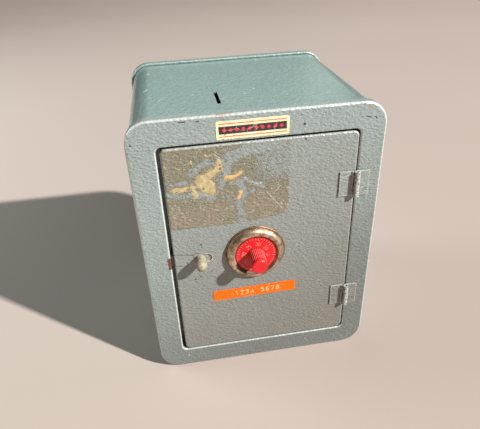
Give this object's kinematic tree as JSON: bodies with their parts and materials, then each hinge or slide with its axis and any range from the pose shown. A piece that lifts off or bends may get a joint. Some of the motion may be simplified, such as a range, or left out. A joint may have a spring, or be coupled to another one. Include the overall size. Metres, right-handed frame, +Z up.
{
  "type": "safe coin bank",
  "caption": "Sheet-steel toy safe coin bank with a hinged front door, a sliding bolt with a knob, a combination dial and a coin slot in its top.",
  "frame": {"origin": "centre of the footprint, dial knob included, at the height of the table", "axes": "+Z up, the door faces -Y, +X to the right as the door is seen from the front (the hinge side)"},
  "size_m": [0.175, 0.1722, 0.22],
  "materials": {
    "hammertone_paint": "blue-grey hammer-finish enamel, worn",
    "zinc_steel": "zinc-plated steel, dulled",
    "brass": "plain brass, dulled",
    "tarnished_plating": "nickel plating, tarnished to a brownish gold",
    "red_plastic": "glossy red moulding with white marks",
    "cream_plastic": "cream moulding, dulled",
    "label_paper": "varnished cream paper",
    "orange_tape": "orange vinyl tape"
  },
  "bodies": {
    "cabinet": {"cabinet_wrap": "hammertone_paint", "front_frame": "hammertone_paint", "back_panel": "hammertone_paint", "upper_hinge_frame_leaf": "hammertone_paint", "lower_hinge_frame_leaf": "hammertone_paint", "upper_hinge_pin": "zinc_steel", "lower_hinge_pin": "zinc_steel", "paper_label": "label_paper"},
    "door": {"door_panel": "hammertone_paint", "upper_hinge_door_leaf": "hammertone_paint", "lower_hinge_door_leaf": "hammertone_paint", "bolt_guides": "zinc_steel", "lock_posts": "zinc_steel", "lock_back_plate": "zinc_steel", "lock_screws": "zinc_steel", "dial_ring": "tarnished_plating", "spindle_bush": "brass", "bush_nut": "brass", "wheel_spacers": "zinc_steel", "spring_washer": "zinc_steel", "plastic_tape": "orange_tape"},
    "dial": {"combination_dial": "red_plastic", "dial_spindle": "zinc_steel", "drive_cam": "brass", "spindle_clip": "zinc_steel"},
    "front_wheel": {"front_tumbler": "brass"},
    "rear_wheel": {"rear_tumbler": "brass"},
    "bolt": {"sliding_bolt": "zinc_steel", "bolt_knob": "cream_plastic", "knob_screw": "zinc_steel"}
  },
  "joints": [
    {"name": "door_hinge", "type": "hinge", "parent": "cabinet", "child": "door", "pos_m": [0.069, -0.0692, 0.11], "axis": [0, 0, 1], "range_deg": [0, 170]},
    {"name": "bolt_slide", "type": "slide", "parent": "door", "child": "bolt", "axis": [1, 0, 0], "range_m": [-0.0022, 0.0056]},
    {"name": "dial_turn", "type": "hinge", "parent": "door", "child": "dial", "pos_m": [-0.0052, -0.0669, 0.1106], "axis": [0, 1, 0], "continuous": true},
    {"name": "front_tumbler_turn", "type": "hinge", "parent": "door", "child": "front_wheel", "pos_m": [-0.0052, -0.0614, 0.1106], "axis": [0, 1, 0], "continuous": true},
    {"name": "rear_tumbler_turn", "type": "hinge", "parent": "door", "child": "rear_wheel", "pos_m": [-0.0052, -0.0585, 0.1106], "axis": [0, 1, 0], "continuous": true}
  ],
  "couplings": [
    {"joint": "front_tumbler_turn", "follows": "dial_turn", "ratio": 1},
    {"joint": "rear_tumbler_turn", "follows": "dial_turn", "ratio": 1}
  ]
}
